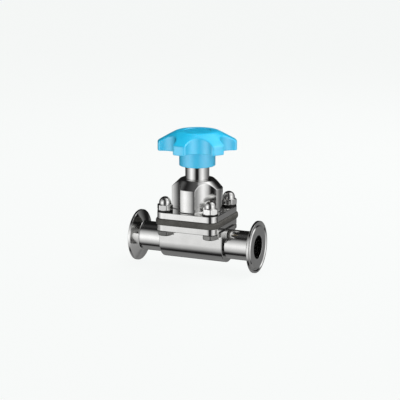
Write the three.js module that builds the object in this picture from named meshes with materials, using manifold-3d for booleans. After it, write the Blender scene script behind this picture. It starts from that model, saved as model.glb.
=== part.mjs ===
// Weir diaphragm valve with clamp ends and a hand knob, for a 25 mm process line.
//
// Millimetres. X is the flow axis, with the inlet at -X and the outlet at +X. The stem rises
// along +Z. The origin is where the two axes cross. The valve is modelled fully open.
import * as THREE from 'three';
import { mergeVertices } from 'three/addons/utils/BufferGeometryUtils.js';
import Module from 'manifold-3d';

const wasm = await Module();
wasm.setup();

// Flow line
const HALF_LENGTH = 63.5;
const FERRULE_RADIUS = 25.25;
const FERRULE_RIM = 2.3;
const FERRULE_CONE = 4.0;
const FERRULE_CONE_RADIUS = 24.9;
const TUBE_RADIUS = 14.3;
const BORE_RADIUS = 11.3;
const GROOVE_INNER = 20.1;
const GROOVE_OUTER = 23.4;
const GROOVE_DEPTH = 1.0;
const GROOVE_SLOPE = 0.8;
const BLOCK_RADIUS = 17.9;
const BLOCK_HALF = 33.0;

// Weir and seat
const WEIR_HALF = 5.0;
const PORT_RADIUS = 16.5;
const PORT_HALF_WIDTH = 10.0;
const SEAT_RADIUS = 17.0;
const SEAT_BOTTOM = 14.6;

// Bolted joint
const FLANGE_HALF = 31.2;
const FLANGE_CORNER = 7.7;
const BODY_FLANGE_BOTTOM = 14.1;
const BODY_FLANGE_TOP = 20.3;
const BONNET_BOTTOM = 26.0;
const BONNET_FLANGE_TOP = 32.4;
const RIM_PROUD = 1.5;
const RIM_HOLE_RADIUS = 16.8;
const BOLT_OFFSET = 23.5;
const BOLT_RADIUS = 4.0;
const BOLT_HOLE_RADIUS = 4.4;
const BOLT_HEAD_HEIGHT = 5.3;
const BOLT_RECESS_RADIUS = 8.6;
const BOLT_RECESS_DEPTH = 6.0;
const HEX_ACROSS_FLATS = 14.0;
const CORNERS = [
  { name: 'inlet_front', end: -1, side: -1, turn: 6.0 },
  { name: 'inlet_back', end: -1, side: 1, turn: 20.0 },
  { name: 'outlet_front', end: 1, side: -1, turn: -6.5 },
  { name: 'outlet_back', end: 1, side: 1, turn: 12.0 },
];
const WASHER_RADIUS = 7.5;
const WASHER_THICKNESS = 1.8;
const NUT_HEX_HEIGHT = 5.4;
const NUT_DOME_RADIUS = 5.9;
const NUT_DOME_FOOT = 1.5;
const NUT_THREAD_DEPTH = 9.4;
const DOME_STEPS = 4;

// Bonnet
const TOWER_RADIUS = 24.9;
const TOWER_CONE_BOTTOM = 54.1;
const TOWER_TOP_RADIUS = 16.6;
const TOWER_TOP = 62.4;
const TOWER_SCALLOP_RADIUS = 20.0;
const TOWER_SCALLOP_CENTRE = 38.7;
const WEB_CHAMBER_RADIUS = 16.6;
const WEB_CHAMBER_TOP = 31.0;
const COMPRESSOR_BORE_RADIUS = 15.2;
const COMPRESSOR_BORE_TOP = 36.5;
const BUSH_HOLE_RADIUS = 9.0;
const BUSH_SEAT = 41.5;
const SLEEVE_BORE_RADIUS = 12.0;
const SEAL_HEIGHT = 60.2;
const SEAL_CORD_RADIUS = 1.0;
const SEAL_CLEARANCE = 0.15;
const SEAL_GROOVE_HALF = 1.25;
const SEAL_GROOVE_RADIUS = 14.0;

// Diaphragm and compressor
const WEB_RADIUS = 16.5;
const WEB_EDGE_BOTTOM = 21.6;
const WEB_EDGE_TOP = 24.4;
const WEB_MIDDLE_BOTTOM = 22.2;
const WEB_BOSS_RADIUS = 8.0;
const WEB_BOSS_TOP = 26.95;
const STUD_RADIUS = 3.0;
const STUD_BOTTOM = 23.7;
const STUD_TOP = 29.8;
const STUD_CLEARANCE = 0.3;
const COMPRESSOR_RADIUS = 14.6;
const COMPRESSOR_BOTTOM = 27.0;
const COMPRESSOR_SHOULDER = 29.8;
const COMPRESSOR_TOP = 35.6;
const POCKET_RADIUS = 8.5;
const POCKET_BOTTOM = 30.0;

// Stem and neck
const STEM_RADIUS = 6.0;
const STEM_TOP = 106.3;
const STEM_HEAD_RADIUS = 8.0;
const STEM_HEAD_BOTTOM = 30.4;
const STEM_HEAD_TOP = 32.6;
const THRUST_WASHER_TOP = 33.5;
const RETAINING_RING_TOP = 35.5;
const STEM_CLEARANCE = 0.3;
const THREAD_CLEARANCE = 0.1;
const BUSH_RADIUS = 8.9;
const BUSH_COLLAR_RADIUS = 11.4;
const BUSH_COLLAR_TOP = 43.5;
const SLEEVE_RADIUS = 11.66;
const SLEEVE_INNER = 8.6;
const SLEEVE_BOTTOM = 51.5;
const SLEEVE_TOP = 86.0;

// Handwheel
const HUB_RADIUS = 17.5;
const HUB_BOTTOM = 75.2;
const HUB_BORE_RADIUS = 11.95;
const HUB_BORE_TOP = 86.3;
const KNOB_RADIUS = 38.2;
const KNOB_BOTTOM = 90.5;
const KNOB_SHOULDER = 99.5;
const KNOB_TOP = 109.4;
const KNOB_TOP_RADIUS = 20.0;
const KNOB_EDGE = 0.8;
const FINGER_COUNT = 6;
const FINGER_RADIUS = 13.0;
const FINGER_CENTRE = 39.5;
const FIRST_FINGER_ANGLE = -64.5;
const INSERT_BOTTOM = 88.5;
const INSERT_TOP = 99.5;
const INSERT_ACROSS_FLATS = 20.0;
const KNOB_WASHER_RADIUS = 11.0;
const KNOB_WASHER_TOP = 101.1;
const KNOB_NUT_ACROSS_FLATS = 18.0;
const KNOB_NUT_TOP = 106.2;
const NUT_CAVITY_RADIUS = 12.0;
const CAP_SEAT = 106.6;
const CAP_RADIUS = 12.6;
const CAP_RECESS_RADIUS = 12.9;
const CAP_TOP = 109.2;

// Fits and facets
const TOUCH_GAP = 0.05;
const CUT_MARGIN = 1.0;
const FINE = 48;
const MEDIUM = 24;
const COARSE = 12;

const STEEL = { color: 0xc9ccce, roughness: 0.22, metalness: 1.0 };
const CAST_STEEL = { color: 0xc2c4c4, roughness: 0.3, metalness: 1.0 };
const FASTENER_STEEL = { color: 0xcfd0d1, roughness: 0.2, metalness: 1.0 };
const BOLT_STEEL = { color: 0x8c8d8b, roughness: 0.4, metalness: 1.0 };
const WASHER_STEEL = { color: 0x3a3a39, roughness: 0.5, metalness: 1.0 };
const BLUE_PLASTIC = { color: 0x3fb4ec, roughness: 0.38, metalness: 0.0 };
const RUBBER = { color: 0x33322f, roughness: 0.75, metalness: 0.0 };
const BRONZE = { color: 0xb08848, roughness: 0.4, metalness: 1.0 };
const BRASS = { color: 0xc7a552, roughness: 0.35, metalness: 1.0 };

const valve = new THREE.Group();

// A closed mesh becomes a solid once its shared corners are merged.
function solidOf(geometry) {
  const bare = geometry.clone();
  bare.deleteAttribute('normal');
  bare.deleteAttribute('uv');
  const welded = mergeVertices(bare, 1e-4);
  const corners = welded.index.array;
  const kept = [];
  for (let i = 0; i < corners.length; i += 3) {
    const [a, b, c] = [corners[i], corners[i + 1], corners[i + 2]];
    if (a !== b && b !== c && c !== a) kept.push(a, b, c);
  }
  const vertProperties = Float32Array.from(welded.attributes.position.array);
  const triVerts = Uint32Array.from(kept);
  return new wasm.Manifold(new wasm.Mesh({ numProp: 3, vertProperties, triVerts }));
}

function geometryOf(solid) {
  const mesh = solid.getMesh();
  const geometry = new THREE.BufferGeometry();
  geometry.setAttribute('position', new THREE.BufferAttribute(mesh.vertProperties, 3));
  geometry.setIndex(new THREE.BufferAttribute(mesh.triVerts, 1));
  return geometry;
}

function joined(...pieces) {
  return geometryOf(pieces.map(solidOf).reduce((whole, piece) => whole.add(piece)));
}

function cut(stock, ...tools) {
  return geometryOf([stock, ...tools].map(solidOf).reduce((whole, tool) => whole.subtract(tool)));
}

function addPart(name, geometry, finish) {
  const mesh = new THREE.Mesh(geometryOf(solidOf(geometry)), new THREE.MeshStandardMaterial(finish));
  mesh.name = name;
  valve.add(mesh);
}

// A closed outline of [radius, height] points, turned about Z.
function turned(outline, segments = MEDIUM) {
  const points = outline.map(([radius, height]) => new THREE.Vector2(radius, height));
  if (THREE.ShapeUtils.area(points) < 0) points.reverse();
  points.push(points[0].clone());
  return new THREE.LatheGeometry(points, segments).rotateX(Math.PI / 2);
}

function disc(radius, bottom, top, segments = MEDIUM) {
  return turned([[0, bottom], [radius, bottom], [radius, top], [0, top]], segments);
}

function ring(inner, outer, bottom, top, segments = MEDIUM) {
  return turned([[inner, bottom], [outer, bottom], [outer, top], [inner, top]], segments);
}

function extruded(shape, bottom, top, curveSegments = 6) {
  const settings = { depth: top - bottom, bevelEnabled: false, curveSegments };
  return new THREE.ExtrudeGeometry(shape, settings).translate(0, 0, bottom);
}

function hexagon(acrossFlats, bottom, top) {
  const shape = new THREE.Shape();
  const cornerRadius = acrossFlats / Math.sqrt(3);
  for (let i = 0; i < 6; i += 1) {
    const angle = i * Math.PI / 3;
    const corner = [cornerRadius * Math.cos(angle), cornerRadius * Math.sin(angle)];
    if (i === 0) shape.moveTo(...corner);
    else shape.lineTo(...corner);
  }
  shape.closePath();
  return extruded(shape, bottom, top);
}

function squarePlate(half, corner, bottom, top) {
  const shape = new THREE.Shape();
  const reach = Math.SQRT2 * (half - corner);
  for (let quarter = 0; quarter < 4; quarter += 1) {
    const middle = (quarter + 0.5) * Math.PI / 2;
    const x = reach * Math.cos(middle);
    const y = reach * Math.sin(middle);
    shape.absarc(x, y, corner, middle - Math.PI / 4, middle + Math.PI / 4, false);
  }
  shape.closePath();
  return extruded(shape, bottom, top);
}

// One copy of a piece at each corner of the flanges, each turned a little differently.
function atBolts(makePiece) {
  return CORNERS.map(({ end, side, turn }) =>
    makePiece().rotateZ(THREE.MathUtils.degToRad(turn)).translate(end * BOLT_OFFSET, side * BOLT_OFFSET, 0));
}

function boltHoles(bottom, top) {
  return atBolts(() => disc(BOLT_HOLE_RADIUS, bottom - CUT_MARGIN, top + CUT_MARGIN, COARSE));
}

// The closed diaphragm's shape, a shallow spherical dish that also sets the weir's crest.
function seatDish() {
  const depth = BODY_FLANGE_TOP - SEAT_BOTTOM;
  const sphere = (SEAT_RADIUS ** 2 + depth ** 2) / (2 * depth);
  const steps = 6;
  const outline = [];
  for (let i = 0; i <= steps; i += 1) {
    const radius = SEAT_RADIUS * i / steps;
    outline.push([radius, SEAT_BOTTOM + sphere - Math.sqrt(sphere ** 2 - radius ** 2)]);
  }
  outline.push([SEAT_RADIUS, BODY_FLANGE_TOP + CUT_MARGIN], [0, BODY_FLANGE_TOP + CUT_MARGIN]);
  return turned(outline);
}

// The round-bottomed block under the flange, with upright sides and recesses for the bolt heads.
function bodyBlock() {
  const section = new THREE.Shape();
  section.moveTo(-BLOCK_RADIUS, BODY_FLANGE_BOTTOM + CUT_MARGIN);
  section.absarc(0, 0, BLOCK_RADIUS, Math.PI, 2 * Math.PI, false);
  section.lineTo(BLOCK_RADIUS, BODY_FLANGE_BOTTOM + CUT_MARGIN);
  section.closePath();
  const block = extruded(section, -BLOCK_HALF, BLOCK_HALF, MEDIUM).rotateX(Math.PI / 2).rotateZ(Math.PI / 2);
  const recesses = atBolts(() =>
    disc(BOLT_RECESS_RADIUS, BODY_FLANGE_BOTTOM - BOLT_RECESS_DEPTH, BODY_FLANGE_BOTTOM + 2 * CUT_MARGIN));
  return cut(block, ...recesses);
}

function valveBody() {
  const block = bodyBlock();
  const flange = squarePlate(FLANGE_HALF, FLANGE_CORNER, BODY_FLANGE_BOTTOM, BODY_FLANGE_TOP);
  const bores = [-1, 1].map((side) =>
    disc(BORE_RADIUS, WEIR_HALF, BLOCK_HALF + CUT_MARGIN).rotateY(side * Math.PI / 2));
  const holes = boltHoles(BODY_FLANGE_BOTTOM, BODY_FLANGE_TOP);
  return cut(joined(block, flange), seatDish(), ...bores, port(-1), port(1), ...holes);
}

// The D-shaped way up from a bore to the seat, beside the weir.
function port(side) {
  const length = PORT_RADIUS - WEIR_HALF;
  const height = BODY_FLANGE_TOP + CUT_MARGIN;
  const slab = new THREE.BoxGeometry(length, 2 * PORT_HALF_WIDTH, height);
  slab.translate(side * (WEIR_HALF + length / 2), 0, height / 2);
  return geometryOf(solidOf(slab).intersect(solidOf(disc(PORT_RADIUS, -CUT_MARGIN, height + CUT_MARGIN))));
}

function ferrule(side) {
  const rimBack = HALF_LENGTH - FERRULE_RIM;
  const coneFoot = rimBack - FERRULE_CONE - 0.3;
  const grooveBed = HALF_LENGTH - GROOVE_DEPTH;
  const outline = [
    [BORE_RADIUS, BLOCK_HALF + TOUCH_GAP],
    [TUBE_RADIUS, BLOCK_HALF + TOUCH_GAP],
    [TUBE_RADIUS, coneFoot],
    [FERRULE_CONE_RADIUS, rimBack - 0.3],
    [FERRULE_RADIUS, rimBack],
    [FERRULE_RADIUS, HALF_LENGTH],
    [GROOVE_OUTER, HALF_LENGTH],
    [GROOVE_OUTER - GROOVE_SLOPE, grooveBed],
    [GROOVE_INNER + GROOVE_SLOPE, grooveBed],
    [GROOVE_INNER, HALF_LENGTH],
    [BORE_RADIUS, HALF_LENGTH],
  ];
  return turned(outline, FINE).rotateY(side * Math.PI / 2);
}

function diaphragmRim() {
  const bottom = BODY_FLANGE_TOP + TOUCH_GAP;
  const top = BONNET_BOTTOM - TOUCH_GAP;
  const plate = squarePlate(FLANGE_HALF + RIM_PROUD, FLANGE_CORNER + RIM_PROUD, bottom, top);
  const opening = disc(RIM_HOLE_RADIUS, bottom - CUT_MARGIN, top + CUT_MARGIN);
  return cut(plate, opening, ...boltHoles(bottom, top));
}

function diaphragmWeb() {
  const studHole = STUD_RADIUS + STUD_CLEARANCE;
  return turned([
    [0, WEB_MIDDLE_BOTTOM],
    [WEB_BOSS_RADIUS, WEB_MIDDLE_BOTTOM],
    [WEB_RADIUS, WEB_EDGE_BOTTOM],
    [WEB_RADIUS, WEB_EDGE_TOP],
    [WEB_BOSS_RADIUS + 1, WEB_BOSS_TOP - 1],
    [WEB_BOSS_RADIUS, WEB_BOSS_TOP],
    [studHole, WEB_BOSS_TOP],
    [studHole, STUD_BOTTOM - STUD_CLEARANCE],
    [0, STUD_BOTTOM - STUD_CLEARANCE],
  ]);
}

function compressor() {
  const studHole = STUD_RADIUS + STUD_CLEARANCE;
  return turned([
    [studHole, COMPRESSOR_BOTTOM],
    [WEB_BOSS_RADIUS, COMPRESSOR_BOTTOM],
    [COMPRESSOR_RADIUS, COMPRESSOR_SHOULDER],
    [COMPRESSOR_RADIUS, COMPRESSOR_TOP],
    [POCKET_RADIUS, COMPRESSOR_TOP],
    [POCKET_RADIUS, POCKET_BOTTOM],
    [studHole, POCKET_BOTTOM],
  ]);
}

function bonnetCavity() {
  return turned([
    [0, BONNET_BOTTOM - CUT_MARGIN],
    [WEB_CHAMBER_RADIUS, BONNET_BOTTOM - CUT_MARGIN],
    [WEB_CHAMBER_RADIUS, WEB_CHAMBER_TOP],
    [COMPRESSOR_BORE_RADIUS, WEB_CHAMBER_TOP],
    [COMPRESSOR_BORE_RADIUS, COMPRESSOR_BORE_TOP],
    [BUSH_HOLE_RADIUS, COMPRESSOR_BORE_TOP],
    [BUSH_HOLE_RADIUS, BUSH_SEAT],
    [SLEEVE_BORE_RADIUS, BUSH_SEAT],
    [SLEEVE_BORE_RADIUS, SEAL_HEIGHT - SEAL_GROOVE_HALF],
    [SEAL_GROOVE_RADIUS, SEAL_HEIGHT - SEAL_GROOVE_HALF],
    [SEAL_GROOVE_RADIUS, SEAL_HEIGHT + SEAL_GROOVE_HALF],
    [SLEEVE_BORE_RADIUS, SEAL_HEIGHT + SEAL_GROOVE_HALF],
    [SLEEVE_BORE_RADIUS, TOWER_TOP + CUT_MARGIN],
    [0, TOWER_TOP + CUT_MARGIN],
  ]);
}

function bonnet() {
  const towerFoot = BONNET_BOTTOM + CUT_MARGIN;
  const tower = turned([
    [0, towerFoot],
    [TOWER_RADIUS, towerFoot],
    [TOWER_RADIUS, TOWER_CONE_BOTTOM],
    [TOWER_TOP_RADIUS, TOWER_TOP],
    [0, TOWER_TOP],
  ], FINE);
  const scallops = [];
  for (let quarter = 0; quarter < 4; quarter += 1) {
    const angle = (quarter + 0.5) * Math.PI / 2;
    const scallop = disc(TOWER_SCALLOP_RADIUS, towerFoot - CUT_MARGIN, TOWER_TOP + CUT_MARGIN, FINE);
    const x = TOWER_SCALLOP_CENTRE * Math.cos(angle);
    const y = TOWER_SCALLOP_CENTRE * Math.sin(angle);
    scallops.push(scallop.translate(x, y, 0));
  }
  const flange = squarePlate(FLANGE_HALF, FLANGE_CORNER, BONNET_BOTTOM, BONNET_FLANGE_TOP);
  const holes = boltHoles(BONNET_BOTTOM, BONNET_FLANGE_TOP);
  return cut(joined(flange, cut(tower, ...scallops)), bonnetCavity(), ...holes);
}

function bolt() {
  const headBottom = BODY_FLANGE_BOTTOM - BOLT_HEAD_HEIGHT;
  const headTop = BODY_FLANGE_BOTTOM - TOUCH_GAP;
  const nutSeat = BONNET_FLANGE_TOP + WASHER_THICKNESS;
  const shank = disc(BOLT_RADIUS, headTop - CUT_MARGIN, nutSeat + NUT_THREAD_DEPTH - CUT_MARGIN, COARSE);
  return joined(hexagon(HEX_ACROSS_FLATS, headBottom, headTop), shank);
}

function washer() {
  const bottom = BONNET_FLANGE_TOP + TOUCH_GAP;
  const top = BONNET_FLANGE_TOP + WASHER_THICKNESS - TOUCH_GAP;
  return ring(BOLT_HOLE_RADIUS, WASHER_RADIUS, bottom, top);
}

// A hexagon with a domed top and a blind threaded hole, bored plain here.
function acornNut() {
  const bottom = BONNET_FLANGE_TOP + WASHER_THICKNESS;
  const hexTop = bottom + NUT_HEX_HEIGHT;
  const domeCentre = hexTop + NUT_DOME_FOOT;
  const domeOutline = [[0, hexTop - CUT_MARGIN], [NUT_DOME_RADIUS, hexTop - CUT_MARGIN]];
  for (let step = 0; step <= DOME_STEPS; step += 1) {
    const angle = step / DOME_STEPS * Math.PI / 2;
    domeOutline.push([NUT_DOME_RADIUS * Math.cos(angle), domeCentre + NUT_DOME_RADIUS * Math.sin(angle)]);
  }
  const blank = joined(hexagon(HEX_ACROSS_FLATS, bottom, hexTop), turned(domeOutline, COARSE));
  const threadRadius = BOLT_RADIUS + THREAD_CLEARANCE;
  return cut(blank, disc(threadRadius, bottom - CUT_MARGIN, bottom + NUT_THREAD_DEPTH, COARSE));
}

function stem() {
  return turned([
    [0, STEM_HEAD_BOTTOM],
    [STEM_HEAD_RADIUS, STEM_HEAD_BOTTOM],
    [STEM_HEAD_RADIUS, STEM_HEAD_TOP],
    [STEM_RADIUS, STEM_HEAD_TOP],
    [STEM_RADIUS, STEM_TOP],
    [0, STEM_TOP],
  ]);
}

function stemBush() {
  const bottom = COMPRESSOR_BORE_TOP + TOUCH_GAP;
  const collarBottom = BUSH_SEAT + TOUCH_GAP;
  const bore = STEM_RADIUS + THREAD_CLEARANCE;
  return turned([
    [bore, bottom],
    [BUSH_RADIUS, bottom],
    [BUSH_RADIUS, collarBottom],
    [BUSH_COLLAR_RADIUS, collarBottom],
    [BUSH_COLLAR_RADIUS, BUSH_COLLAR_TOP],
    [bore, BUSH_COLLAR_TOP],
  ]);
}

function sleeveSeal() {
  const middle = SLEEVE_RADIUS + SEAL_CORD_RADIUS + SEAL_CLEARANCE;
  return new THREE.TorusGeometry(middle, SEAL_CORD_RADIUS, 8, MEDIUM).translate(0, 0, SEAL_HEIGHT);
}

function handwheel() {
  const blank = turned([
    [0, HUB_BOTTOM],
    [HUB_RADIUS - KNOB_EDGE, HUB_BOTTOM],
    [HUB_RADIUS, HUB_BOTTOM + KNOB_EDGE],
    [HUB_RADIUS, KNOB_BOTTOM],
    [KNOB_RADIUS - KNOB_EDGE, KNOB_BOTTOM],
    [KNOB_RADIUS, KNOB_BOTTOM + KNOB_EDGE],
    [KNOB_RADIUS, KNOB_SHOULDER - KNOB_EDGE],
    [KNOB_RADIUS - KNOB_EDGE, KNOB_SHOULDER],
    [KNOB_TOP_RADIUS, KNOB_TOP],
    [0, KNOB_TOP],
  ], FINE + MEDIUM);
  const fingers = [];
  for (let i = 0; i < FINGER_COUNT; i += 1) {
    const angle = THREE.MathUtils.degToRad(FIRST_FINGER_ANGLE + i * 360 / FINGER_COUNT);
    const finger = disc(FINGER_RADIUS, HUB_BOTTOM, KNOB_TOP + CUT_MARGIN, MEDIUM);
    fingers.push(finger.translate(FINGER_CENTRE * Math.cos(angle), FINGER_CENTRE * Math.sin(angle), 0));
  }
  const hollow = turned([
    [0, HUB_BOTTOM - CUT_MARGIN],
    [HUB_BORE_RADIUS, HUB_BOTTOM - CUT_MARGIN],
    [HUB_BORE_RADIUS, HUB_BORE_TOP],
    [STEM_RADIUS + STEM_CLEARANCE, HUB_BORE_TOP],
    [STEM_RADIUS + STEM_CLEARANCE, INSERT_TOP - CUT_MARGIN],
    [NUT_CAVITY_RADIUS, INSERT_TOP],
    [NUT_CAVITY_RADIUS, CAP_SEAT],
    [CAP_RECESS_RADIUS, CAP_SEAT],
    [CAP_RECESS_RADIUS, KNOB_TOP + CUT_MARGIN],
    [0, KNOB_TOP + CUT_MARGIN],
  ]);
  const insertPocket = hexagon(INSERT_ACROSS_FLATS + 0.6, INSERT_BOTTOM, INSERT_TOP + CUT_MARGIN);
  return cut(blank, ...fingers, hollow, insertPocket);
}

function handwheelInsert() {
  const bottom = INSERT_BOTTOM + TOUCH_GAP;
  const top = INSERT_TOP - TOUCH_GAP;
  const bore = disc(STEM_RADIUS + THREAD_CLEARANCE, bottom - CUT_MARGIN, top + CUT_MARGIN);
  return cut(hexagon(INSERT_ACROSS_FLATS, bottom, top), bore);
}

function handwheelNut() {
  const bottom = KNOB_WASHER_TOP + TOUCH_GAP;
  const bore = disc(STEM_RADIUS + THREAD_CLEARANCE, bottom - CUT_MARGIN, KNOB_NUT_TOP + CUT_MARGIN);
  return cut(hexagon(KNOB_NUT_ACROSS_FLATS, bottom, KNOB_NUT_TOP), bore);
}

function addFasteners(kind, makePiece, finish) {
  atBolts(makePiece).forEach((piece, i) => addPart(`${kind}_${CORNERS[i].name}`, piece, finish));
}

// Fixed pieces
addPart('valve_body', valveBody(), CAST_STEEL);
addPart('inlet_ferrule', ferrule(-1), STEEL);
addPart('outlet_ferrule', ferrule(1), STEEL);
addPart('diaphragm_rim', diaphragmRim(), RUBBER);
addPart('bonnet', bonnet(), CAST_STEEL);
addPart('stem_bush', stemBush(), BRONZE);
addPart('sleeve_seal', sleeveSeal(), RUBBER);
addFasteners('bolt', bolt, BOLT_STEEL);
addFasteners('washer', washer, WASHER_STEEL);
addFasteners('acorn_nut', acornNut, FASTENER_STEEL);

// Pieces that rise and fall without turning
addPart('diaphragm_web', diaphragmWeb(), RUBBER);
addPart('diaphragm_stud', disc(STUD_RADIUS, STUD_BOTTOM, STUD_TOP, COARSE), FASTENER_STEEL);
addPart('compressor', compressor(), STEEL);
addPart('retaining_ring',
  ring(STEM_RADIUS + STEM_CLEARANCE, POCKET_RADIUS - STEM_CLEARANCE, THRUST_WASHER_TOP + TOUCH_GAP,
    RETAINING_RING_TOP), STEEL);

// Pieces that turn with the handwheel
addPart('stem', stem(), STEEL);
addPart('thrust_washer',
  ring(STEM_RADIUS + STEM_CLEARANCE, STEM_HEAD_RADIUS, STEM_HEAD_TOP + TOUCH_GAP, THRUST_WASHER_TOP), BRONZE);
addPart('neck_sleeve', ring(SLEEVE_INNER, SLEEVE_RADIUS, SLEEVE_BOTTOM, SLEEVE_TOP, FINE), STEEL);
addPart('handwheel', handwheel(), BLUE_PLASTIC);
addPart('handwheel_insert', handwheelInsert(), BRASS);
addPart('handwheel_washer',
  ring(STEM_RADIUS + STEM_CLEARANCE, KNOB_WASHER_RADIUS, INSERT_TOP + TOUCH_GAP, KNOB_WASHER_TOP),
  FASTENER_STEEL);
addPart('handwheel_nut', handwheelNut(), FASTENER_STEEL);
addPart('handwheel_cap', disc(CAP_RADIUS, CAP_SEAT + TOUCH_GAP, CAP_TOP), BLUE_PLASTIC);

export default valve;
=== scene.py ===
"""Looks of the weir diaphragm valve: fine meshes, materials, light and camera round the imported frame.

Shapes are worked out in millimetres and built in metres. X is the flow axis, Z the stem axis.
"""
import math

import bmesh
import bpy
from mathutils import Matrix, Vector


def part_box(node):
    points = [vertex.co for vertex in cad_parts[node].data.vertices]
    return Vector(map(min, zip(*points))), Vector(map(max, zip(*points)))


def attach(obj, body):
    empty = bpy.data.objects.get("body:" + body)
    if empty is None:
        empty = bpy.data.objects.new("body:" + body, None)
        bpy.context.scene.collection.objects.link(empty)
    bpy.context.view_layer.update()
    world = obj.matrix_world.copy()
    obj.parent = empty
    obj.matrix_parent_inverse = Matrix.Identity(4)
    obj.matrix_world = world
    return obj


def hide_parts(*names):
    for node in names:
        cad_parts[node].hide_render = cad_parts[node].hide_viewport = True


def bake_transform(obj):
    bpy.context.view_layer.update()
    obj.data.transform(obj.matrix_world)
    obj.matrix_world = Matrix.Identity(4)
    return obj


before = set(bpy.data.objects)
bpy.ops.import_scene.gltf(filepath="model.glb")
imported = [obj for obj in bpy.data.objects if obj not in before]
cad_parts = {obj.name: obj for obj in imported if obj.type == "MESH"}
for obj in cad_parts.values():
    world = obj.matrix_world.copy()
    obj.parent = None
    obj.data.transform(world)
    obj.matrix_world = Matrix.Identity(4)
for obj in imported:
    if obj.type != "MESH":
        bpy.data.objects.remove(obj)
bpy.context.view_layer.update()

MM = 0.001
TAU = 2 * math.pi
ROUND = 144
ROOT = "body_assembly"
WHEEL = "handwheel_assembly"


def box_of(node):
    """Lowest and highest corners of a CAD node, in millimetres."""
    low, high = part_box(node)
    return low / MM, high / MM


# ---------------------------------------------------------------- sizes, from the frame
body_low, body_high = box_of("valve_body")
bonnet_low, bonnet_high = box_of("bonnet")
rim_low, rim_high = box_of("diaphragm_rim")
ferrule_high = box_of("outlet_ferrule")[1]
sleeve_low, sleeve_high = box_of("neck_sleeve")
wheel_low, wheel_high = box_of("handwheel")
cap_high = box_of("handwheel_cap")[1]
washer_low, washer_high = box_of("washer_outlet_front")
nut_low, nut_high = box_of("acorn_nut_outlet_front")
bolt_low, bolt_high = box_of("bolt_outlet_front")
web_low, web_high = box_of("diaphragm_web")

HALF_LENGTH = ferrule_high.x
FERRULE_RADIUS = ferrule_high.z
TUBE_RADIUS = 14.3
BORE_RADIUS = 11.3
BLOCK_RADIUS = -body_low.z
BLOCK_HALF = body_high.x
FLANGE_HALF = bonnet_high.x
FLANGE_CORNER = 7.7
BODY_FLANGE_BOTTOM = 14.1
BODY_TOP = body_high.z
BONNET_BOTTOM = bonnet_low.z
BONNET_FLANGE_TOP = 32.4
BOLT_OFFSET = (washer_low.x + washer_high.x) / 2
BOLT_HOLE_RADIUS = 4.4
BOLT_RADIUS = 4.0
BOLT_RECESS_RADIUS = 8.6
BOLT_RECESS_DEPTH = 6.0
WASHER_RADIUS = 7.5
NUT_HEX_HEIGHT = 5.4
NUT_DOME_RADIUS = 5.9
NUT_THREAD_RADIUS = 4.1
NUT_THREAD_DEPTH = 9.4
WEIR_HALF = 5.0
SEAT_RADIUS = 17.0
SEAT_BOTTOM = 14.6
PORT_REACH = 16.5
PORT_HALF_WIDTH = 10.0
WEB_RADIUS = 16.5
BOSS_RADIUS = 8.0
TOWER_RADIUS = 24.9
TOWER_TOP_RADIUS = 16.6
TOWER_TOP = bonnet_high.z
FLUTE_RADIUS = 20.0
FLUTE_DISTANCE = 38.7
SLEEVE_BORE = 12.0
SLEEVE_RADIUS = sleeve_high.x
HUB_RADIUS = 17.5
HUB_BOTTOM = wheel_low.z
HUB_BORE = 11.95
KNOB_RADIUS = 38.2
KNOB_BOTTOM = 90.5
KNOB_SHOULDER = 99.5
KNOB_TOP = wheel_high.z
KNOB_TOP_RADIUS = 20.0
FINGER_RADIUS = 13.0
FINGER_DISTANCE = 39.5
FIRST_FINGER = math.radians(-64.5)
CAP_RADIUS = cap_high.x
CAP_SEAT = 106.6
HEX_FLATS = 14.0
HEX_CORNER = HEX_FLATS / math.sqrt(3)
# How far each nut and its bolt stand turned, in degrees.
HEX_TURNS = {"inlet_front": 6.0, "inlet_back": 20.0, "outlet_front": -6.5, "outlet_back": 12.0}
# The gap left between faces that meet, and how far a cutter reaches past what it cuts.
TOUCH_GAP = 0.05
CUT_MARGIN = 1.0
# The colour of the floor and of the background.
PALE = (0.913, 0.930, 0.921, 1)


# ---------------------------------------------------------------- mesh tools
def object_from(name, vertices, faces):
    mesh = bpy.data.meshes.new(name)
    mesh.from_pydata([Vector(v) * MM for v in vertices], [], faces)
    shape = bmesh.new()
    shape.from_mesh(mesh)
    bmesh.ops.remove_doubles(shape, verts=shape.verts, dist=1e-7)
    bmesh.ops.recalc_face_normals(shape, faces=shape.faces)
    shape.to_mesh(mesh)
    shape.free()
    made = bpy.data.objects.new(name, mesh)
    bpy.context.scene.collection.objects.link(made)
    return made


def loft(name, rings, loop=False):
    """A closed skin over rings with equal counts: capped at both ends, or joined into a loop."""
    count = len(rings[0])
    vertices = [point for ring in rings for point in ring]
    faces = []
    for i in range(len(rings) if loop else len(rings) - 1):
        a = i * count
        b = (i + 1) % len(rings) * count
        for j in range(count):
            k = (j + 1) % count
            faces.append((a + j, a + k, b + k, b + j))
    if not loop:
        for ring, start in ((rings[0], 0), (rings[-1], (len(rings) - 1) * count)):
            middle = sum((Vector(point) for point in ring), Vector()) / count
            vertices.append(middle)
            hub = len(vertices) - 1
            faces.extend((start + j, start + (j + 1) % count, hub) for j in range(count))
    return object_from(name, vertices, faces)


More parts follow.
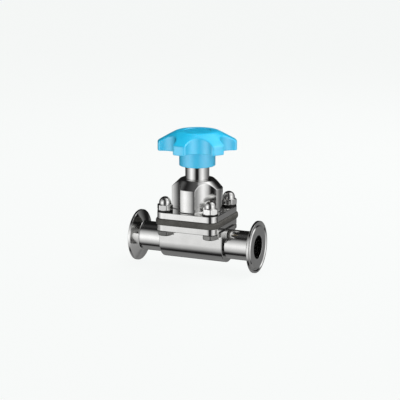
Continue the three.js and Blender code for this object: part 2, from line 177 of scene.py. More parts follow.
def rounded(outline, radius, steps=4, closed=True):
    """The outline's corners as short curves; a third number on a point is its own radius."""
    count = len(outline)
    path = []
    for i, corner in enumerate(outline):
        here = Vector(corner[:2])
        own = corner[2] if len(corner) > 2 else radius
        end = not closed and i in (0, count - 1)
        if end or own <= 0:
            path.append(here)
            continue
        back = Vector(outline[i - 1][:2]) - here
        ahead = Vector(outline[(i + 1) % count][:2]) - here
        turn = math.pi - back.angle(ahead)
        reach = min(own * math.tan(turn / 2), 0.48 * back.length, 0.48 * ahead.length)
        start = here + back.normalized() * reach
        stop = here + ahead.normalized() * reach
        for step in range(steps + 1):
            t = step / steps
            path.append(start * (1 - t) ** 2 + here * 2 * t * (1 - t) + stop * t ** 2)
    return path


def circle(radius, height, angles):
    return [(radius * math.cos(a), radius * math.sin(a), height) for a in angles]


def even_angles(count):
    return [TAU * i / count for i in range(count)]


def placed(rings, x, y):
    return [[(px + x, py + y, pz) for px, py, pz in ring] for ring in rings]


def turned(name, outline, radius=0.3, hollow=True, along_x=0, count=ROUND, steps=4):
    """A round piece from [radius, height] points, about Z, or about X towards side along_x."""
    path = rounded(outline, radius, steps, closed=hollow)
    angles = even_angles(count)
    rings = [circle(max(point[0], 0.02), point[1], angles) for point in path]
    if along_x:
        rings = [[(z * along_x, x * along_x, y) for x, y, z in ring] for ring in rings]
    return loft(name, rings, loop=hollow)


def square_reach(angle, half, corner):
    """Distance from the axis to a rounded square's edge."""
    across = max(abs(math.cos(angle)), abs(math.sin(angle)))
    along = min(abs(math.cos(angle)), abs(math.sin(angle)))
    reach = half / across
    if reach * along <= half - corner:
        return reach
    middle = half - corner
    lean = middle * (across + along)
    return lean + math.sqrt(lean ** 2 - 2 * middle ** 2 + corner ** 2)


def square_ring(half, corner, inset, height, angles):
    ring = []
    for angle in angles:
        reach = square_reach(angle, half - inset, max(corner - inset, 0.1))
        ring.append((reach * math.cos(angle), reach * math.sin(angle), height))
    return ring


def quarter(radius, steps=5):
    """(inset, drop) of a quarter round, from the flat above it to the wall below."""
    return [(radius * (1 - math.sin(a)), radius * (1 - math.cos(a)))
            for a in (math.pi / 2 * i / steps for i in range(steps + 1))]


def hex_reach(angle, flats, soft=0.25):
    """Distance from the axis to a hexagon with slightly eased corners."""
    step = math.pi / 3
    away = (angle - step / 2) % step
    away = min(away, step - away)
    return min(flats / 2 / math.cos(away), flats / math.sqrt(3) - soft)


def outline_of_flutes(reach, flute, distance, first, count, corner, steps):
    """A circle bitten by flutes, as (centre, direction, radius, sign) so that it can be inset exactly."""
    samples = []
    inner = reach - corner
    swing = math.acos((distance ** 2 + inner ** 2 - (flute + corner) ** 2) / (2 * distance * inner))
    for i in range(count):
        middle = first + TAU * i / count
        bite = Vector((distance * math.cos(middle), distance * math.sin(middle)))
        ends = []
        for side in (-1, 1):
            angle = middle + side * swing
            ends.append(Vector((inner * math.cos(angle), inner * math.sin(angle))))
        to_first = math.atan2(*(ends[0] - bite).yx)
        to_last = math.atan2(*(ends[1] - bite).yx)
        sweep = (to_last - to_first) % TAU - TAU
        turn = (to_first + math.pi - (middle - swing)) % TAU
        for step in range(steps // 2):
            angle = middle - swing + turn * step / (steps // 2)
            samples.append((ends[0], angle, corner, -1))
        for step in range(steps * 2 + 1):
            samples.append((bite, to_first + sweep * step / (steps * 2), flute, 1))
        turn_out = (middle + swing - (to_last + math.pi)) % TAU
        for step in range(1, steps // 2 + 1):
            angle = to_last + math.pi + turn_out * step / (steps // 2)
            samples.append((ends[1], angle, corner, -1))
        gap = TAU / count - 2 * swing
        for step in range(1, steps):
            angle = middle + swing + gap * step / steps
            samples.append((Vector((0, 0)), angle, reach, -1))
    return samples


def flute_points(samples, inset):
    points = []
    for centre, angle, radius, sign in samples:
        points.append(centre + Vector((math.cos(angle), math.sin(angle))) * (radius + sign * inset))
    return points


def boolean(target, tools, operation="DIFFERENCE"):
    """Cuts the tools from the target, or joins them to it, and removes the tools."""
    for tool in tools:
        modifier = target.modifiers.new("cut", "BOOLEAN")
        modifier.operation = operation
        modifier.solver = "EXACT"
        modifier.object = tool
    bpy.context.view_layer.update()
    result = target.evaluated_get(bpy.context.evaluated_depsgraph_get())
    mesh = bpy.data.meshes.new_from_object(result)
    target.modifiers.clear()
    target.data = mesh
    for tool in tools:
        bpy.data.objects.remove(tool)
    return target


def smooth(piece):
    piece.data.shade_smooth()
    piece.data.set_sharp_from_angle(angle=math.radians(32))
    modifier = piece.modifiers.new("face_weighted", "WEIGHTED_NORMAL")
    modifier.keep_sharp = True
    modifier.weight = 80


def finish_piece(piece, material, slot, body, *nodes):
    """Smooths a piece, paints it and says which body carries it and which CAD nodes it replaces."""
    smooth(piece)
    piece.data.materials.clear()
    piece.data.materials.append(material)
    if body:
        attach(piece, body)
    if nodes:
        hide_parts(*nodes)


# ---------------------------------------------------------------- materials
class Nodes:
    """Adds and links nodes of one material in short calls."""

    def __init__(self, name):
        self.material = bpy.data.materials.new(name)
        self.material.use_nodes = True
        self.tree = self.material.node_tree
        self.shader = self.tree.nodes["Principled BSDF"]

    def add(self, kind, **settings):
        node = self.tree.nodes.new(kind)
        for key, value in settings.items():
            if hasattr(node, key):
                setattr(node, key, value)
            else:
                node.inputs[key.replace("_", " ")].default_value = value
        return node

    def link(self, source, target):
        self.tree.links.new(source, target)

    def noise(self, stretch, scale, detail):
        """Noise over the object's own coordinates, in metres, stretched along each axis."""
        place = self.add("ShaderNodeTexCoord")
        mapping = self.add("ShaderNodeMapping")
        mapping.inputs["Scale"].default_value = stretch
        texture = self.add("ShaderNodeTexNoise", Scale=scale, Detail=detail)
        self.link(place.outputs["Object"], mapping.inputs["Vector"])
        self.link(mapping.outputs["Vector"], texture.inputs["Vector"])
        return texture.outputs["Fac"]

    def ranged(self, value, low, high):
        """The middle of a noise, spread from low to high."""
        node = self.add("ShaderNodeMapRange")
        node.inputs["From Min"].default_value = 0.3
        node.inputs["From Max"].default_value = 0.7
        node.inputs["To Min"].default_value = low
        node.inputs["To Max"].default_value = high
        self.link(value, node.inputs["Value"])
        return node.outputs["Result"]

    def tint(self, value, dark, light):
        """Base colour between two shades, led by a noise."""
        ramp = self.add("ShaderNodeValToRGB")
        ramp.color_ramp.elements[0].position = 0.3
        ramp.color_ramp.elements[0].color = (*dark, 1)
        ramp.color_ramp.elements[1].position = 0.7
        ramp.color_ramp.elements[1].color = (*light, 1)
        self.link(value, ramp.inputs["Fac"])
        self.link(ramp.outputs["Color"], self.shader.inputs["Base Color"])

    def bump(self, value, strength, distance, below=None):
        node = self.add("ShaderNodeBump", Strength=strength, Distance=distance)
        self.link(value, node.inputs["Height"])
        if below is not None:
            self.link(below, node.inputs["Normal"])
        return node.outputs["Normal"]

    def finish(self, roughness, normal):
        self.link(roughness, self.shader.inputs["Roughness"])
        self.link(normal, self.shader.inputs["Normal"])
        return self.material


def steel(name, dark, light, rough_low, rough_high, stretch, line_bump, blotch_bump):
    """Stainless steel with fine tool lines along one direction and faint handling marks."""
    nodes = Nodes(name)
    nodes.shader.inputs["Metallic"].default_value = 1.0
    lines = nodes.noise(stretch, 1.0, 3.0)
    blotches = nodes.noise((1, 1, 1), 90.0, 5.0)
    grain = nodes.noise((1, 1, 1), 2600.0, 2.0)
    nodes.tint(blotches, dark, light)
    mixed = nodes.add("ShaderNodeMath", operation="ADD")
    nodes.link(nodes.ranged(lines, rough_low, rough_high), mixed.inputs[0])
    nodes.link(nodes.ranged(blotches, -0.02, 0.03), mixed.inputs[1])
    normal = nodes.bump(blotches, blotch_bump, 0.0004)
    normal = nodes.bump(lines, line_bump, 0.00002, normal)
    normal = nodes.bump(grain, line_bump * 0.5, 0.00001, normal)
    return nodes.finish(mixed.outputs[0], normal)


def turned_steel(name, axis):
    """Polished steel turned on a lathe, with its marks running round the given axis."""
    stretch = [60.0, 60.0, 60.0]
    stretch[axis] = 4500.0
    return steel(name, (0.72, 0.72, 0.71), (0.80, 0.80, 0.79), 0.07, 0.13, stretch, 0.06, 0.01)


def brushed_steel(name, dark, light):
    stretch = (60.0, 60.0, 3800.0)
    return steel(name, dark, light, 0.08, 0.14, stretch, 0.08, 0.012)


def fastener_steel():
    stretch = (900.0, 900.0, 900.0)
    return steel("bright_fastener", (0.74, 0.74, 0.73), (0.82, 0.82, 0.81), 0.07, 0.13, stretch, 0.05, 0.02)


def bolt_steel():
    stretch = (500.0, 500.0, 500.0)
    return steel("darker_bolt", (0.20, 0.20, 0.195), (0.30, 0.30, 0.29), 0.32, 0.45, stretch, 0.2, 0.05)


def washer_steel():
    stretch = (500.0, 500.0, 500.0)
    # Washers nearly black all over, which gives the dark line under each nut.
    dark, light = (0.030, 0.030, 0.029), (0.055, 0.055, 0.053)
    return steel("near_black_washer", dark, light, 0.40, 0.55, stretch, 0.2, 0.05)


def bronze(name, dark, light):
    nodes = Nodes(name)
    nodes.shader.inputs["Metallic"].default_value = 1.0
    lines = nodes.noise((80, 80, 3000), 1.0, 3.0)
    stains = nodes.noise((1, 1, 1), 220.0, 5.0)
    nodes.tint(stains, dark, light)
    normal = nodes.bump(lines, 0.3, 0.00003)
    return nodes.finish(nodes.ranged(lines, 0.28, 0.42), normal)


def rubber():
    nodes = Nodes("diaphragm_elastomer")
    fine = nodes.noise((1, 1, 1), 1800.0, 4.0)
    wide = nodes.noise((1, 1, 1), 120.0, 4.0)
    nodes.tint(wide, (0.050, 0.048, 0.043), (0.075, 0.073, 0.067))
    normal = nodes.bump(wide, 0.15, 0.0003)
    normal = nodes.bump(fine, 0.35, 0.00006, normal)
    return nodes.finish(nodes.ranged(fine, 0.55, 0.72), normal)


def blue_plastic():
    """Moulded sky-blue plastic with a soft gloss and a faint spark-eroded texture."""
    nodes = Nodes("sky_blue_plastic")
    shader = nodes.shader
    shader.inputs["IOR"].default_value = 1.6
    shader.inputs["Specular IOR Level"].default_value = 0.9
    shader.inputs["Coat Weight"].default_value = 1.0
    shader.inputs["Coat Roughness"].default_value = 0.30
    shader.inputs["Coat IOR"].default_value = 1.7
    shader.inputs["Subsurface Weight"].default_value = 0.1
    shader.inputs["Subsurface Radius"].default_value = (0.4, 0.8, 1.0)
    shader.inputs["Subsurface Scale"].default_value = 0.003
    texture = nodes.noise((1, 1, 1), 2200.0, 3.0)
    flow = nodes.noise((1, 1, 1), 60.0, 3.0)
    nodes.tint(flow, (0.010, 0.485, 0.780), (0.018, 0.525, 0.820))
    normal = nodes.bump(flow, 0.04, 0.0006)
    normal = nodes.bump(texture, 0.15, 0.00003, normal)
    return nodes.finish(nodes.ranged(texture, 0.26, 0.34), normal)


STEEL_ABOUT_X = turned_steel("turned_steel_flow", 0)
STEEL_ABOUT_Z = turned_steel("turned_steel_stem", 2)
BODY_STEEL = brushed_steel("satin_body", (0.66, 0.66, 0.65), (0.74, 0.74, 0.73))
BONNET_STEEL = brushed_steel("satin_bonnet", (0.74, 0.74, 0.73), (0.82, 0.82, 0.81))
FASTENER = fastener_steel()
BOLT = bolt_steel()
WASHER = washer_steel()
BRONZE = bronze("bush_bronze", (0.42, 0.29, 0.15), (0.56, 0.40, 0.22))
BRASS = bronze("insert_brass", (0.60, 0.46, 0.20), (0.70, 0.56, 0.28))
RUBBER = rubber()
BLUE = blue_plastic()


# ---------------------------------------------------------------- fixed pieces
def hole_tools(bottom, top, radius=BOLT_HOLE_RADIUS):
    """A round cutter on each of the four bolt axes."""
    rings = [circle(radius, z, even_angles(48)) for z in (bottom, top)]
    tools = []
    for x in (-BOLT_OFFSET, BOLT_OFFSET):
        for y in (-BOLT_OFFSET, BOLT_OFFSET):
            tools.append(loft("hole_tool", placed(rings, x, y)))
    return tools


def plate(name, half, corner, bottom, top, edge):
    """A square plate with rounded corners and eased edges."""
    angles = even_angles(ROUND * 2)
    rings = [square_ring(half, corner, inset, bottom + drop, angles) for inset, drop in quarter(edge)]
    rings += [square_ring(half, corner, inset, top - drop, angles) for inset, drop in reversed(quarter(edge))]
    return loft(name, rings)


def seat_tool():
    """The shallow dish that the closed diaphragm fills."""
    steps = 24
    depth = BODY_TOP - SEAT_BOTTOM
    ball = (SEAT_RADIUS ** 2 + depth ** 2) / (2 * depth)
    outline = []
    for i in range(1, steps + 1):
        radius = SEAT_RADIUS * i / steps
        outline.append((radius, SEAT_BOTTOM + ball - math.sqrt(ball ** 2 - radius ** 2)))
    outline.append((SEAT_RADIUS, BODY_TOP + CUT_MARGIN))
    return turned("seat_tool", outline, radius=0, hollow=False)


def bore_tool(side):
    """The bore from one end of the block to the weir, with a rounded inner end."""
    end = BLOCK_HALF + CUT_MARGIN
    outline = [(0, WEIR_HALF), (BORE_RADIUS, WEIR_HALF, 4.0), (BORE_RADIUS, end), (0, end)]
    return turned("bore_tool", outline, radius=0, hollow=False, along_x=side)


def port_tool(side):
    """The D-shaped way up from a bore to the seat, beside the weir."""
    corner, steps = 1.5, 32
    lean = math.asin(PORT_HALF_WIDTH / PORT_REACH)
    outline = [(WEIR_HALF, PORT_HALF_WIDTH, corner), (WEIR_HALF, -PORT_HALF_WIDTH, corner)]
    outline += [(PORT_REACH * math.cos(a), PORT_REACH * math.sin(a), 0)
                for a in (-lean + 2 * lean * i / steps for i in range(steps + 1))]
    path = rounded(outline, 0)
    rings = [[(side * p.x, p.y, z) for p in path] for z in (0, BODY_TOP + CUT_MARGIN)]
    return loft("port_tool", rings)


def block_ring(inset, x):
    """The block's section: a half round below the flow axis with upright sides above it."""
    reach, top, steps = BLOCK_RADIUS - inset, BODY_FLANGE_BOTTOM + CUT_MARGIN, 96
    ring = [(x, -reach, top)]
    for i in range(steps + 1):
        angle = math.pi * (1 + i / steps)
        ring.append((x, reach * math.cos(angle), reach * math.sin(angle)))
    return ring + [(x, reach, top)]


def make_body():
    """The forged block and flange, with the bores, the ports beside the weir and the seat."""
    edge = quarter(0.7)
    rings = [block_ring(inset, -BLOCK_HALF + drop) for inset, drop in edge]
    rings += [block_ring(inset, BLOCK_HALF - drop) for inset, drop in reversed(edge)]
    body = loft("body_forging", rings)
    recess_bottom, recess_top = BODY_FLANGE_BOTTOM - BOLT_RECESS_DEPTH, BODY_FLANGE_BOTTOM + 2 * CUT_MARGIN
    boolean(body, hole_tools(recess_bottom, recess_top, BOLT_RECESS_RADIUS))
    flange = plate("flange_tool", FLANGE_HALF, FLANGE_CORNER, BODY_FLANGE_BOTTOM, BODY_TOP, 0.6)
    boolean(body, [flange], "UNION")
    tools = [seat_tool()] + [bore_tool(side) for side in (-1, 1)] + [port_tool(side) for side in (-1, 1)]
    boolean(body, tools + hole_tools(BODY_FLANGE_BOTTOM - CUT_MARGIN, BODY_TOP + CUT_MARGIN))
    finish_piece(body, BODY_STEEL, "cast_steel", ROOT, "valve_body")


def make_ferrule(name, node, side):
    """A tube with a clamp flange: its cone behind, its gasket groove in the end face."""
    rim_back = HALF_LENGTH - 2.3
    cone_start, cone_end_radius = rim_back - 4.3, 24.9
    groove_depth, groove_middle = 1.0, 21.75
    groove_top, groove_foot = 1.65, 0.85
    outline = [
        (BORE_RADIUS, BLOCK_HALF + TOUCH_GAP, 0),
        (TUBE_RADIUS, BLOCK_HALF + TOUCH_GAP, 0),
        (TUBE_RADIUS, cone_start, 1.2),
        (cone_end_radius, rim_back - 0.3, 0.4),
        (FERRULE_RADIUS, rim_back, 0.4),
        (FERRULE_RADIUS, HALF_LENGTH, 0.5),
        (groove_middle + groove_top, HALF_LENGTH, 0.3),
        (groove_middle + groove_foot, HALF_LENGTH - groove_depth, 0.5),
        (groove_middle - groove_foot, HALF_LENGTH - groove_depth, 0.5),
        (groove_middle - groove_top, HALF_LENGTH, 0.3),
        (BORE_RADIUS, HALF_LENGTH, 0.35),
    ]
    ferrule = turned(name, outline, along_x=side, count=192)
    finish_piece(ferrule, STEEL_ABOUT_X, "polished_steel", ROOT, node)


def make_rim():
    """The clamped edge of the diaphragm, with a slightly swollen edge where it is squeezed out."""
    half, corner = rim_high.x, FLANGE_CORNER + 1.5
    bottom, top = rim_low.z, rim_high.z
    angles = even_angles(ROUND * 2)
    inner = WEB_RADIUS + 0.3
    rings = [circle(inner, bottom, angles), circle(inner, top, angles)]
    steps = 10
    for i in range(steps + 1):
        height = top + (bottom - top) * i / steps
        swell = abs(2 * i / steps - 1) ** 3
        rings.append(square_ring(half, corner, 0.75 * swell, height, angles))
    rim = boolean(loft("diaphragm_edge", rings, loop=True), hole_tools(bottom - CUT_MARGIN, top + CUT_MARGIN))
    finish_piece(rim, RUBBER, "diaphragm_rubber", ROOT, "diaphragm_rim")


def bonnet_top(radius):
    """Height of the tower's flat top and 45 degree shoulder, with an eased edge between them."""
    ease = 0.5
    past = radius - TOWER_TOP_RADIUS
    return TOWER_TOP - (past + math.sqrt(past ** 2 + ease ** 2)) / 2


def bonnet_cavity():
    """The bonnet's stepped hollow as (radius, height), from its open bottom up to the neck's mouth."""
    web_room, guide, bush_hole, groove = 16.6, 15.2, 9.0, 14.0
    guide_foot, guide_top, bush_seat = 31.0, 36.5, 41.5
    groove_bottom, groove_top = TOWER_TOP - 3.45, TOWER_TOP - 0.95
    return [
        (web_room, BONNET_BOTTOM), (web_room, guide_foot), (guide, guide_foot), (guide, guide_top),
        (bush_hole, guide_top), (bush_hole, bush_seat), (SLEEVE_BORE, bush_seat),
        (SLEEVE_BORE, groove_bottom), (groove, groove_bottom), (groove, groove_top),
        (SLEEVE_BORE, groove_top), (SLEEVE_BORE, TOWER_TOP - 0.4),
    ]


def make_bonnet():
    """The square flange and the fluted tower on it, as one skin from the hollow out over the top."""
    flutes = outline_of_flutes(TOWER_RADIUS, FLUTE_RADIUS, FLUTE_DISTANCE, TAU / 8, 4, 0.7, 16)
    edge, foot, flange_edge = 0.5, 1.2, 0.6
    shoulder = flute_points(flutes, edge)
    angles = [math.atan2(p.y, p.x) for p in shoulder]
    rings = [circle(radius, height, angles) for radius, height in bonnet_cavity()]
    mouth, steps = SLEEVE_BORE + 0.4, 16
    for i in range(steps + 1):
        ring = []
        for point, angle in zip(shoulder, angles):
            radius = mouth + (point.length - mouth) * i / steps
            ring.append((radius * math.cos(angle), radius * math.sin(angle), bonnet_top(radius)))
        rings.append(ring)
    for inset, drop in quarter(edge)[1:]:
        rings.append([(p.x, p.y, bonnet_top(p.length) - drop) for p in flute_points(flutes, inset)])
    for rise, spread in quarter(foot):
        rings.append([(p.x, p.y, BONNET_FLANGE_TOP + rise) for p in flute_points(flutes, -spread)])
    for inset, drop in quarter(flange_edge):
        rings.append(square_ring(FLANGE_HALF, FLANGE_CORNER, inset, BONNET_FLANGE_TOP - drop, angles))
    for inset, rise in reversed(quarter(flange_edge)):
        rings.append(square_ring(FLANGE_HALF, FLANGE_CORNER, inset, BONNET_BOTTOM + rise, angles))
    bonnet = loft("bonnet_casting", rings, loop=True)
    boolean(bonnet, hole_tools(BONNET_BOTTOM - CUT_MARGIN, BONNET_FLANGE_TOP + CUT_MARGIN))
    finish_piece(bonnet, BONNET_STEEL, "cast_steel", ROOT, "bonnet")


def hex_rings(profile, angles, turn):
    """Rings of a hexagon trimmed by a turned profile of (radius, height)."""
    rings = []
    for radius, height in profile:
        ring = []
        for angle in angles:
            reach = min(hex_reach(angle - turn, HEX_FLATS), radius)
            ring.append((reach * math.cos(angle), reach * math.sin(angle), height))
        rings.append(ring)
    return rings


def make_fasteners():
    """Acorn nut, washer and hexagon bolt at each corner of the flanges."""
    angles = even_angles(ROUND)
    sides = {"inlet": -1, "outlet": 1, "front": -1, "back": 1}
    for corner, degrees in HEX_TURNS.items():
        end, side = corner.split("_")
        x, y = sides[end] * BOLT_OFFSET, sides[side] * BOLT_OFFSET
        turn = math.radians(degrees)
        nut = loft(f"domed_nut_{corner}", placed(nut_rings(angles, turn), x, y), loop=True)
        finish_piece(nut, FASTENER, "fastener_steel", ROOT, f"acorn_nut_{corner}")
        washer = loft(f"flat_washer_{corner}", placed(washer_rings(angles), x, y), loop=True)
        finish_piece(washer, WASHER, "washer_steel", ROOT, f"washer_{corner}")
        bolt = loft(f"hex_bolt_{corner}", placed(bolt_rings(angles, turn), x, y))
        finish_piece(bolt, BOLT, "bolt_steel", ROOT, f"bolt_{corner}")


def washer_rings(angles):
    outline = [(BOLT_HOLE_RADIUS, washer_low.z), (WASHER_RADIUS, washer_low.z),
               (WASHER_RADIUS, washer_high.z), (BOLT_HOLE_RADIUS, washer_high.z)]
    return [circle(point[0], point[1], angles) for point in rounded(outline, 0.25)]


def nut_rings(angles, turn):
    """A hexagon with chamfered ends, a narrower dome on a short straight foot, and a blind thread."""
    bottom, top, wide = nut_low.z, nut_high.z, HEX_CORNER
    hex_top, dome, steps = bottom + NUT_HEX_HEIGHT, NUT_DOME_RADIUS, 16
    profile = [(wide - 0.9, bottom), (wide - 0.4, bottom + 0.3), (wide, bottom + 0.9), (wide, hex_top - 0.9),
               (wide - 0.45, hex_top - 0.4), (6.8, hex_top), (dome + 0.35, hex_top), (dome, hex_top + 0.35)]
    for i in range(steps):
        angle = math.pi / 2 * i / steps
        profile.append((dome * math.cos(angle), top - dome + dome * math.sin(angle)))
    profile.append((0.2, top))
    rings = hex_rings(profile, angles, turn)
    thread, thread_top = NUT_THREAD_RADIUS, bottom + NUT_THREAD_DEPTH
    inside = [(0.3, thread_top), (thread, thread_top), (thread, bottom + 0.5), (thread + 0.5, bottom)]
    return rings + [circle(radius, height, angles) for radius, height in inside]


def bolt_rings(angles, turn):
    """A hexagon head with a rounded underside, and its shank up to the nut."""
    low, seat = bolt_low.z, BODY_FLANGE_BOTTOM - TOUCH_GAP
    flat, rise, collar, chamfer = 4.8, 2.6, 6.3, 0.5
    profile = [(2.5, low), (flat, low)]
    profile += [(flat + (HEX_CORNER - flat) * math.sin(a), low + rise * (1 - math.cos(a)))
                for a in (math.pi / 2 * i / 8 for i in range(1, 9))]
    profile += [(HEX_CORNER, seat - 0.5), (collar, seat - 0.4), (collar, seat)]
    rings = hex_rings(profile, angles, turn)
    shank = [(BOLT_RADIUS, seat), (BOLT_RADIUS, bolt_high.z - chamfer), (BOLT_RADIUS - chamfer, bolt_high.z)]
    return rings + [circle(radius, height, angles) for radius, height in shank]


# ---------------------------------------------------------------- moving pieces
def make_web():
    """The flexing part of the diaphragm, in sectors that stretch from the still rim to the moving boss."""
    stud_radius, stud_foot, underside, middle_hole = 3.3, 23.4, 22.2, 1.0
    outline = [(stud_radius, stud_foot), (stud_radius, web_high.z), (BOSS_RADIUS, web_high.z),
               (9.0, 26.0), (WEB_RADIUS, 24.4), (WEB_RADIUS, web_low.z), (12.0, 21.75),
               (BOSS_RADIUS, underside), (middle_hole, underside), (middle_hole, stud_foot)]
    path = rounded(outline, 0.5)
    fine, longest = [], 1.2
    for i, here in enumerate(path):
        ahead = path[(i + 1) % len(path)]
        pieces = max(1, round((ahead - here).length / longest))
        fine += [here.lerp(ahead, step / pieces) for step in range(pieces)]
    sectors, steps = 12, 8
    width = TAU / sectors
    for i in range(sectors):
        start = TAU * i / sectors
        rings = []
        for step in range(steps + 1):
            angle = start + width * step / steps
            rings.append([(p.x * math.cos(angle), p.x * math.sin(angle), p.y) for p in fine])
        sector = loft(f"diaphragm_web_{i + 1}", rings)
        finish_piece(sector, RUBBER, "diaphragm_rubber", None, *(["diaphragm_web"] if i == 0 else []))
        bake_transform(sector)


def make_sleeve():
    inner = 8.6
    outline = [(inner, sleeve_low.z), (SLEEVE_RADIUS, sleeve_low.z), (SLEEVE_RADIUS, sleeve_high.z),
               (inner, sleeve_high.z)]
    sleeve = turned("polished_neck", outline, radius=0.5, count=192)
    finish_piece(sleeve, STEEL_ABOUT_Z, "polished_steel", WHEEL, "neck_sleeve")


def knob_top(radius):
    """Height of the knob's flat crown and conical top, with an eased edge between them."""
    slope = (KNOB_TOP - KNOB_SHOULDER) / (KNOB_RADIUS - KNOB_TOP_RADIUS)
    ease = 1.6
    past = radius - KNOB_TOP_RADIUS
    return KNOB_TOP - slope * (past + math.sqrt(past ** 2 + ease ** 2)) / 2


def knob_hollow(angles):
    """Rings of the knob's hollow, upwards: sleeve, stem, hexagonal insert, nut and cover."""
    stem, insert_flats, nut_room, cover = 6.3, 20.6, 12.0, 12.9
    sleeve_top, insert_bottom, insert_top = 86.3, 88.5, 99.5
    rings = [circle(HUB_BORE, HUB_BOTTOM + 0.4, angles), circle(HUB_BORE, sleeve_top, angles),
             circle(stem, sleeve_top, angles), circle(stem, insert_bottom, angles)]
    hexagon = [hex_reach(a, insert_flats) for a in angles]
    for height in (insert_bottom, insert_top):
        rings.append([(r * math.cos(a), r * math.sin(a), height) for r, a in zip(hexagon, angles)])
    return rings + [circle(nut_room, insert_top, angles), circle(nut_room, CAP_SEAT, angles),
                    circle(cover, CAP_SEAT, angles), circle(cover, KNOB_TOP - 0.6, angles)]


def make_knob():
    """The six-lobed knob and its hub, as one skin from the hollow out over the crown."""
    corner, edge, lower_edge, hub_fillet, hub_edge = 2.4, 1.2, 0.9, 1.0, 0.8
    fingers = outline_of_flutes(KNOB_RADIUS, FINGER_RADIUS, FINGER_DISTANCE, FIRST_FINGER, 6, corner, 12)
    crown = flute_points(fingers, edge)
    angles = [math.atan2(p.y, p.x) for p in crown]
    rings = knob_hollow(angles)
    mouth, steps = 13.3, 28
    for i in range(steps + 1):
        ring = []
        for point, angle in zip(crown, angles):
            radius = mouth + (point.length - mouth) * i / steps
            ring.append((radius * math.cos(angle), radius * math.sin(angle), knob_top(radius)))
        rings.append(ring)
    for inset, drop in quarter(edge)[1:]:
        rings.append([(p.x, p.y, knob_top(p.length) - drop) for p in flute_points(fingers, inset)])
    for inset, rise in reversed(quarter(lower_edge)):
        rings.append([(p.x, p.y, KNOB_BOTTOM + rise) for p in flute_points(fingers, inset)])
    for spread, drop in quarter(hub_fillet):
        rings.append(circle(HUB_RADIUS + spread, KNOB_BOTTOM - drop, angles))
    for inset, rise in reversed(quarter(hub_edge)):
        rings.append(circle(HUB_RADIUS - inset, HUB_BOTTOM + rise, angles))
    rings.append(circle(HUB_BORE + 0.4, HUB_BOTTOM, angles))
    knob = loft("hand_knob", rings, loop=True)
    finish_piece(knob, BLUE, "blue_plastic", WHEEL, "handwheel")
    # Keeps the knob's blue out of the reflections in the steel.
    knob.visible_glossy = False


def make_cap():
    """The slightly crowned cover in the knob's top."""
    bottom, top, crowning = CAP_SEAT + TOUCH_GAP, cap_high.z, 0.25
    outline = [(0, bottom), (CAP_RADIUS, bottom, 0.3), (CAP_RADIUS, top - crowning, 0.5),
               (CAP_RADIUS * 0.6, top, 6.0), (0, top)]
    cap = turned("knob_cover", outline, hollow=False, steps=6)
    finish_piece(cap, BLUE, "blue_plastic", WHEEL, "handwheel_cap")
    cap.visible_glossy = False


def paint_carried_nodes():
    """Hidden working pieces stay as packed and get their own materials."""
    looks = {
        "stem_bush": BRONZE, "thrust_washer": BRONZE, "handwheel_insert": BRASS, "sleeve_seal": RUBBER,
        "diaphragm_stud": FASTENER, "handwheel_washer": FASTENER, "handwheel_nut": FASTENER,
        "compressor": STEEL_ABOUT_Z, "retaining_ring": STEEL_ABOUT_Z, "stem": STEEL_ABOUT_Z,
    }
    for node, material in looks.items():
        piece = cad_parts[node]
        piece.data.materials.clear()
        piece.data.materials.append(material)


make_body()
make_ferrule("clamp_end_inlet", "inlet_ferrule", -1)
make_ferrule("clamp_end_outlet", "outlet_ferrule", 1)
make_rim()
make_bonnet()
make_fasteners()
make_web()
make_sleeve()
make_knob()
make_cap()
paint_carried_nodes()


# ---------------------------------------------------------------- camera, floor and light
# Where the camera stands round a point on the stem axis, and how far beside it the camera aims, in metres.
AZIMUTH, ELEVATION = math.radians(23.52), math.radians(12.55)
DISTANCE, TARGET_HEIGHT = 1.2604, 0.045
LENS, SENSOR = 116.86, 36.0
AIM_RIGHT, AIM_UP = 0.00258, -0.00434


def make_camera():
    level = math.cos(ELEVATION)
    back = Vector((math.sin(AZIMUTH) * level, -math.cos(AZIMUTH) * level, math.sin(ELEVATION)))
    right = Vector((math.cos(AZIMUTH), math.sin(AZIMUTH), 0))
    up = back.cross(right)
    target = Vector((0, 0, TARGET_HEIGHT))
    lens = bpy.data.cameras.new("camera")
    lens.lens = LENS
    lens.sensor_width = SENSOR
    lens.clip_start = 0.01
    camera = bpy.data.objects.new("camera", lens)
    bpy.context.scene.collection.objects.link(camera)
    camera.location = target + back * DISTANCE
    aim = target + right * AIM_RIGHT + up * AIM_UP
    camera.rotation_euler = (camera.location - aim).to_track_quat("Z", "Y").to_euler()
    bpy.context.scene.camera = camera


def make_floor():
    """A pale glowing disc of 6 m radius at the height of the lowest point, matched to the background."""
    count = 96
    rings = [circle(r / MM, -FERRULE_RADIUS, even_angles(count)) for r in (0.2, 1.0, 6.0)]
    vertices = [point for ring in rings for point in ring]
    faces = [tuple(range(count))]
    for i in range(len(rings) - 1):
        for j in range(count):
            k = (j + 1) % count
            faces.append((i * count + j, i * count + k, (i + 1) * count + k, (i + 1) * count + j))
    floor = object_from("floor", vertices, faces)
    nodes = Nodes("pale_floor")
    nodes.shader.inputs["Base Color"].default_value = (0.03, 0.03, 0.03, 1)
    nodes.shader.inputs["Roughness"].default_value = 0.9
    nodes.shader.inputs["Specular IOR Level"].default_value = 0.0
    nodes.shader.inputs["Emission Color"].default_value = PALE
    nodes.shader.inputs["Emission Strength"].default_value = 0.985
    floor.data.materials.append(nodes.material)
    floor.visible_glossy = False


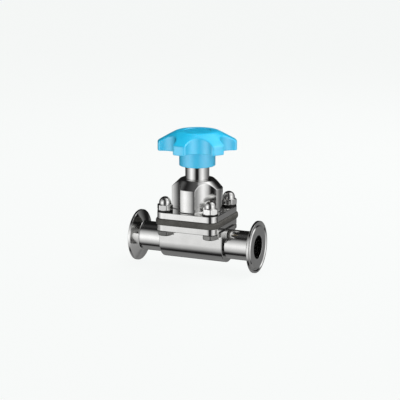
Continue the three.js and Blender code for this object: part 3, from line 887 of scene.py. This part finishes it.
def make_world():
    """A studio seen in the steel: soft boxes at front left and front right, dim light behind and above."""
    world = bpy.data.worlds.new("studio")
    bpy.context.scene.world = world
    world.use_nodes = True
    tree = world.node_tree
    tree.nodes.clear()

    def add(kind, **settings):
        node = tree.nodes.new(kind)
        for key, value in settings.items():
            setattr(node, key, value)
        return node

    def math_node(operation, *values):
        node = add("ShaderNodeMath", operation=operation)
        for i, value in enumerate(values):
            if isinstance(value, (int, float)):
                node.inputs[i].default_value = value
            else:
                tree.links.new(value, node.inputs[i])
        return node.outputs[0]

    def edge(value, low, high):
        """0 below low, 1 above high, smooth between."""
        node = add("ShaderNodeMapRange", interpolation_type="SMOOTHSTEP")
        node.inputs["From Min"].default_value = low
        node.inputs["From Max"].default_value = high
        tree.links.new(value, node.inputs["Value"])
        return node.outputs["Result"]

    def band(value, start, full, fade, stop):
        """1 from full to fade, falling smoothly to 0 at start and stop."""
        rise = edge(value, start, full)
        fall = math_node("SUBTRACT", 1.0, edge(value, fade, stop))
        return math_node("MULTIPLY", rise, fall)

    place = add("ShaderNodeTexCoord")
    parts = add("ShaderNodeSeparateXYZ")
    tree.links.new(place.outputs["Generated"], parts.inputs[0])
    x, y, z = parts.outputs
    # Azimuth in degrees, 0 at the front where the camera stands, positive to its right.
    across, along = math.cos(AZIMUTH), math.sin(AZIMUTH)
    sideways = math_node("ADD", math_node("MULTIPLY", x, across), math_node("MULTIPLY", y, along))
    forwards = math_node("SUBTRACT", math_node("MULTIPLY", x, along), math_node("MULTIPLY", y, across))
    azimuth = math_node("MULTIPLY", math_node("ARCTAN2", sideways, forwards), 180 / math.pi)
    elevation = math_node("MULTIPLY", math_node("ARCSINE", z), 180 / math.pi)
    # The cosine of the elevation: turns a difference in azimuth into an angle across the sky.
    flat = math_node("SQRT", math_node("SUBTRACT", 1.0, math_node("MULTIPLY", z, z)))

    def glow(strength, middle, height, wide, tall):
        """A soft box: brightest in its middle, half as bright at the given angles from it."""
        beside = math_node("WRAP", math_node("SUBTRACT", azimuth, middle), 180.0, -180.0)
        beside = math_node("DIVIDE", math_node("MULTIPLY", beside, flat), wide)
        above = math_node("DIVIDE", math_node("SUBTRACT", elevation, height), tall)
        spread = math_node("MULTIPLY", beside, beside)
        spread = math_node("ADD", spread, math_node("MULTIPLY", above, above))
        return math_node("DIVIDE", strength, math_node("ADD", spread, 1.0))

    left_gate = math_node("MULTIPLY", band(azimuth, -150, -95, -34, -8), band(elevation, -58, -36, 36, 58))
    right_gate = math_node("MULTIPLY", band(azimuth, 4, 25, 108, 140), band(elevation, -60, -38, 75, 90))
    behind = edge(math_node("ABSOLUTE", azimuth), 76, 98)
    table = math_node("MULTIPLY", behind, band(elevation, -80, -66, -46, -26))
    far_right = math_node("MULTIPLY", edge(azimuth, 122, 136), band(elevation, -46, -30, -14, -3))
    overhead = edge(elevation, 55, 80)
    lights = [
        math_node("MULTIPLY", glow(1.45, -58, 0, 25, 27), left_gate),
        math_node("MULTIPLY", glow(1.32, 50, 5, 25, 33), right_gate),
        math_node("MULTIPLY", glow(1.10, 102, 52, 20, 16), right_gate),
        math_node("MULTIPLY", table, 0.22),
        math_node("MULTIPLY", far_right, 0.18),
        math_node("MULTIPLY", overhead, 0.09),
    ]
    # Even the darkest parts of the studio glow a little.
    light = 0.012
    for part in lights:
        light = math_node("ADD", light, part)

    shown = add("ShaderNodeLightPath")
    background = add("ShaderNodeBackground")
    studio = add("ShaderNodeBackground")
    mix = add("ShaderNodeMixShader")
    output = add("ShaderNodeOutputWorld")
    background.inputs["Color"].default_value = PALE
    studio.inputs["Color"].default_value = (1.0, 1.0, 1.0, 1)
    tree.links.new(light, studio.inputs["Strength"])
    tree.links.new(shown.outputs["Is Camera Ray"], mix.inputs["Fac"])
    tree.links.new(studio.outputs[0], mix.inputs[1])
    tree.links.new(background.outputs[0], mix.inputs[2])
    tree.links.new(mix.outputs[0], output.inputs["Surface"])


def make_light(name, place, size, power):
    """A soft lamp aimed at the valve's middle, which lights matt surfaces and isn't mirrored in steel."""
    aim = Vector((0, 0, 0.08))
    lamp = bpy.data.lights.new(name, "AREA")
    lamp.shape = "RECTANGLE"
    lamp.size, lamp.size_y = size
    lamp.energy = power
    light = bpy.data.objects.new(name, lamp)
    bpy.context.scene.collection.objects.link(light)
    light.location = Vector(place)
    light.rotation_euler = (light.location - aim).to_track_quat("Z", "Y").to_euler()
    light.visible_glossy = False
    light.visible_camera = False


make_camera()
make_floor()
make_world()
make_light("key", (0.9, -0.2, 1.2), (0.8, 0.8), 5.5)
make_light("fill", (-0.4, -0.6, 1.2), (0.8, 0.8), 1.5)
make_light("low", (0.4, -1.1, -0.01), (1.2, 0.4), 10.0)
make_light("back", (0.2, 0.7, 1.0), (0.9, 0.9), 20.0)
bpy.context.scene.view_settings.view_transform = "Standard"
bpy.context.scene.view_settings.look = "None"
